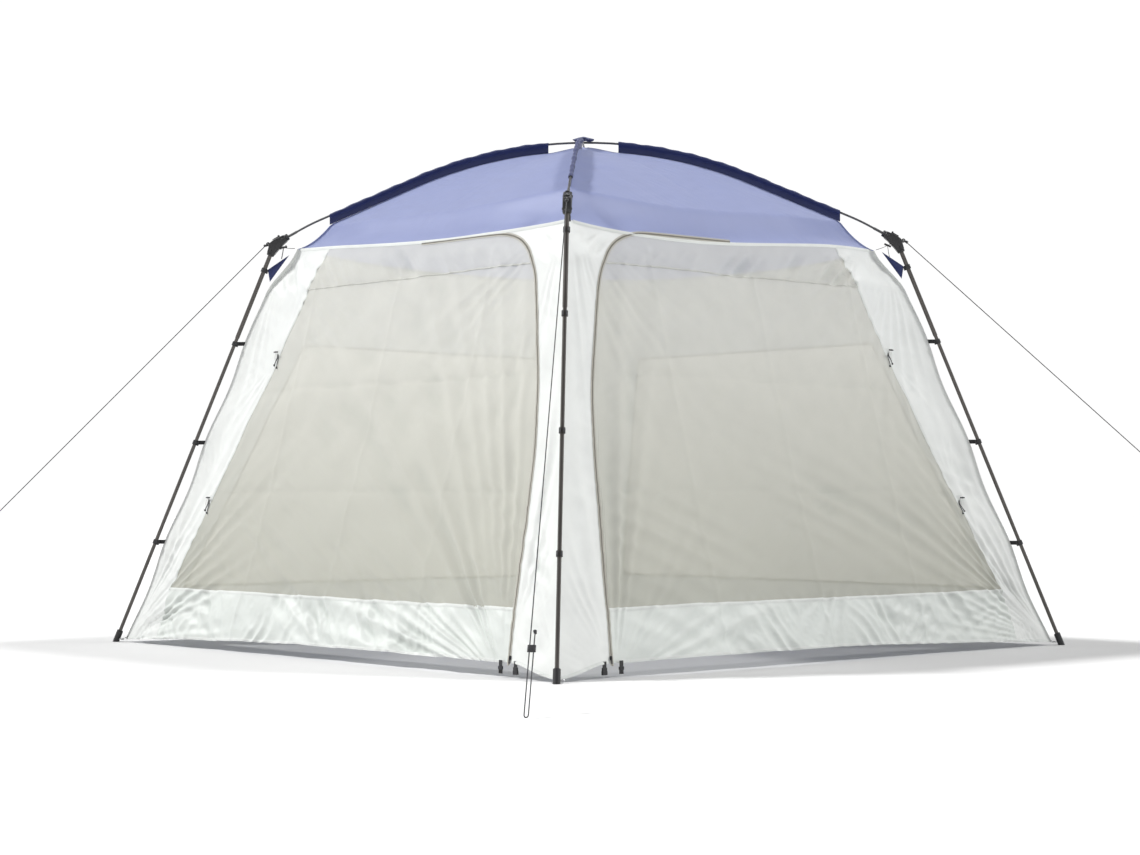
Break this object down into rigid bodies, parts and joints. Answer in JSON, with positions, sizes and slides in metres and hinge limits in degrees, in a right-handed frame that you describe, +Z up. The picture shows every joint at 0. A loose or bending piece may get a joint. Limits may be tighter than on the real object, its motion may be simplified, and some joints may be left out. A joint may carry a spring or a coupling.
{
  "type": "screen house",
  "caption": "Square screen house with a domed blue roof on crossed rods, leaning legs with corner hubs, white walls with mesh, folding zip doors and guy lines.",
  "frame": {"origin": "on the ground, in the middle of the square that the four feet make", "axes": "+Z up; X and Y along the walls; the door walls face -Y (left door) and +X (right door), so they meet at the front corner at +X, -Y"},
  "size_m": [4.7467, 4.7891, 2.281],
  "materials": {
    "leg_tube": "dark grey powder coat, semi-gloss",
    "black_plastic": "moulded nylon, fine texture",
    "fibreglass": "drawn fibreglass, slight gloss",
    "ferrule_metal": "plated steel",
    "roof_cloth": "coated polyester taffeta",
    "navy_cloth": "coated polyester taffeta",
    "wall_cloth": "coated polyester taffeta",
    "mesh_cloth": "fine insect mesh",
    "zip_tape": "woven tape with nylon coil",
    "zip_metal": "painted zinc",
    "black_webbing": "woven nylon webbing",
    "guy_cord": "braided polyester cord"
  },
  "bodies": {
    "frame": {"canopy_left": "roof_cloth", "canopy_rear_left": "roof_cloth", "canopy_rear_right": "roof_cloth", "canopy_right": "roof_cloth", "clip_straps": "black_webbing", "corner_panel_left": "wall_cloth", "corner_panel_right": "wall_cloth", "corner_straps": "black_webbing", "corner_tabs": "navy_cloth", "fixed_mesh_left": "mesh_cloth", "fixed_mesh_right": "mesh_cloth", "foot_caps": "black_plastic", "guy_line_back": "guy_cord", "guy_line_front": "guy_cord", "guy_line_left": "guy_cord", "guy_line_right": "guy_cord", "hub_back": "black_plastic", "hub_front": "black_plastic", "hub_left": "black_plastic", "hub_right": "black_plastic", "leg_back": "leg_tube", "leg_front": "leg_tube", "leg_left": "leg_tube", "leg_right": "leg_tube", "peak_cap": "navy_cloth", "pole_clips": "black_plastic", "rear_mesh_left": "mesh_cloth", "rear_mesh_right": "mesh_cloth", "rear_panel_left": "wall_cloth", "rear_panel_right": "wall_cloth", "rod_ferrules": "ferrule_metal", "rod_sleeves": "navy_cloth", "roof_rod_front_back": "fibreglass", "roof_rod_left_right": "fibreglass", "side_panel_left": "wall_cloth", "side_panel_right": "wall_cloth", "zip_fixed_left": "zip_tape", "zip_fixed_right": "zip_tape"},
    "door_left": {"door_mesh_left": "mesh_cloth", "door_skirt_left": "wall_cloth", "zip_door_left": "zip_tape"},
    "zip_slider_left": {"zip_slider_left": "zip_metal"},
    "zip_pull_left": {"zip_pull_left": "zip_metal"},
    "toggle_upper_left": {"toggle_upper_left": "black_plastic"},
    "toggle_lower_left": {"toggle_lower_left": "black_plastic"},
    "buckle_plug_left": {"buckle_plug_left": "black_plastic"},
    "buckle_socket_left": {"buckle_socket_left": "black_plastic"},
    "door_right": {"door_mesh_right": "mesh_cloth", "door_skirt_right": "wall_cloth", "zip_door_right": "zip_tape"},
    "zip_slider_right": {"zip_slider_right": "zip_metal"},
    "zip_pull_right": {"zip_pull_right": "zip_metal"},
    "toggle_upper_right": {"toggle_upper_right": "black_plastic"},
    "toggle_lower_right": {"toggle_lower_right": "black_plastic"},
    "buckle_plug_right": {"buckle_plug_right": "black_plastic"},
    "buckle_socket_right": {"buckle_socket_right": "black_plastic"},
    "guy_runner_front": {"guy_runner_front": "black_plastic"},
    "guy_runner_left": {"guy_runner_left": "black_plastic"},
    "guy_runner_right": {"guy_runner_right": "black_plastic"},
    "guy_runner_back": {"guy_runner_back": "black_plastic"}
  },
  "joints": [
    {"name": "door_left_fold", "type": "hinge", "parent": "frame", "child": "door_left", "pos_m": [-1.205, -1.45655, 0.04478], "axis": [-0.5959, -0.2178, -0.773], "range_deg": [0, 90]},
    {"name": "zip_slider_left_travel", "type": "slide", "parent": "frame", "child": "zip_slider_left", "axis": [-0.1543, 0.2679, 0.951], "range_m": [0, 0.66]},
    {"name": "zip_pull_left_swing", "type": "hinge", "parent": "zip_slider_left", "child": "zip_pull_left", "pos_m": [1.19266, -1.45445, 0.07364], "axis": [-0.988, -0.0419, -0.1486], "range_deg": [0, 150]},
    {"name": "toggle_upper_left_turn", "type": "hinge", "parent": "frame", "child": "toggle_upper_left", "pos_m": [-0.805, -1.1119, 1.2969], "axis": [0, -0.9625, 0.2712], "range_deg": [-90, 90]},
    {"name": "toggle_lower_left_turn", "type": "hinge", "parent": "frame", "child": "toggle_lower_left", "pos_m": [-1.066, -1.29361, 0.6519], "axis": [0, -0.9625, 0.2712], "range_deg": [-90, 90]},
    {"name": "buckle_plug_left_swing", "type": "hinge", "parent": "door_left", "child": "buckle_plug_left", "pos_m": [1.148, -1.45953, 0.062], "axis": [-1, 0, 0], "range_deg": [-10, 75]},
    {"name": "buckle_socket_left_swing", "type": "hinge", "parent": "frame", "child": "buckle_socket_left", "pos_m": [1.232, -1.45953, 0.062], "axis": [-1, 0, 0], "range_deg": [-10, 75]},
    {"name": "door_right_fold", "type": "hinge", "parent": "frame", "child": "door_right", "pos_m": [1.45655, 1.205, 0.04478], "axis": [-0.2178, -0.5959, 0.773], "range_deg": [0, 90]},
    {"name": "zip_slider_right_travel", "type": "slide", "parent": "frame", "child": "zip_slider_right", "axis": [-0.2679, 0.1543, 0.951], "range_m": [0, 0.66]},
    {"name": "zip_pull_right_swing", "type": "hinge", "parent": "zip_slider_right", "child": "zip_pull_right", "pos_m": [1.45445, -1.19266, 0.07364], "axis": [-0.0419, -0.988, 0.1486], "range_deg": [0, 150]},
    {"name": "toggle_upper_right_turn", "type": "hinge", "parent": "frame", "child": "toggle_upper_right", "pos_m": [1.1119, 0.805, 1.2969], "axis": [-0.9625, 0, -0.2712], "range_deg": [-90, 90]},
    {"name": "toggle_lower_right_turn", "type": "hinge", "parent": "frame", "child": "toggle_lower_right", "pos_m": [1.29361, 1.066, 0.6519], "axis": [-0.9625, 0, -0.2712], "range_deg": [-90, 90]},
    {"name": "buckle_plug_right_swing", "type": "hinge", "parent": "door_right", "child": "buckle_plug_right", "pos_m": [1.45953, -1.148, 0.062], "axis": [0, -1, 0], "range_deg": [-10, 75]},
    {"name": "buckle_socket_right_swing", "type": "hinge", "parent": "frame", "child": "buckle_socket_right", "pos_m": [1.45953, -1.232, 0.062], "axis": [0, -1, 0], "range_deg": [-10, 75]},
    {"name": "guy_runner_front_slide", "type": "slide", "parent": "frame", "child": "guy_runner_front", "axis": [-0.5053, 0.5205, 0.6883], "range_m": [-0.1, 0.045]},
    {"name": "guy_runner_left_slide", "type": "slide", "parent": "frame", "child": "guy_runner_left", "axis": [0.502, 0.502, 0.7043], "range_m": [-0.1, 0.045]},
    {"name": "guy_runner_right_slide", "type": "slide", "parent": "frame", "child": "guy_runner_right", "axis": [-0.5214, -0.5214, 0.6754], "range_m": [-0.1, 0.045]},
    {"name": "guy_runner_back_slide", "type": "slide", "parent": "frame", "child": "guy_runner_back", "axis": [0.5087, -0.5087, 0.6945], "range_m": [-0.1, 0.045]}
  ]
}
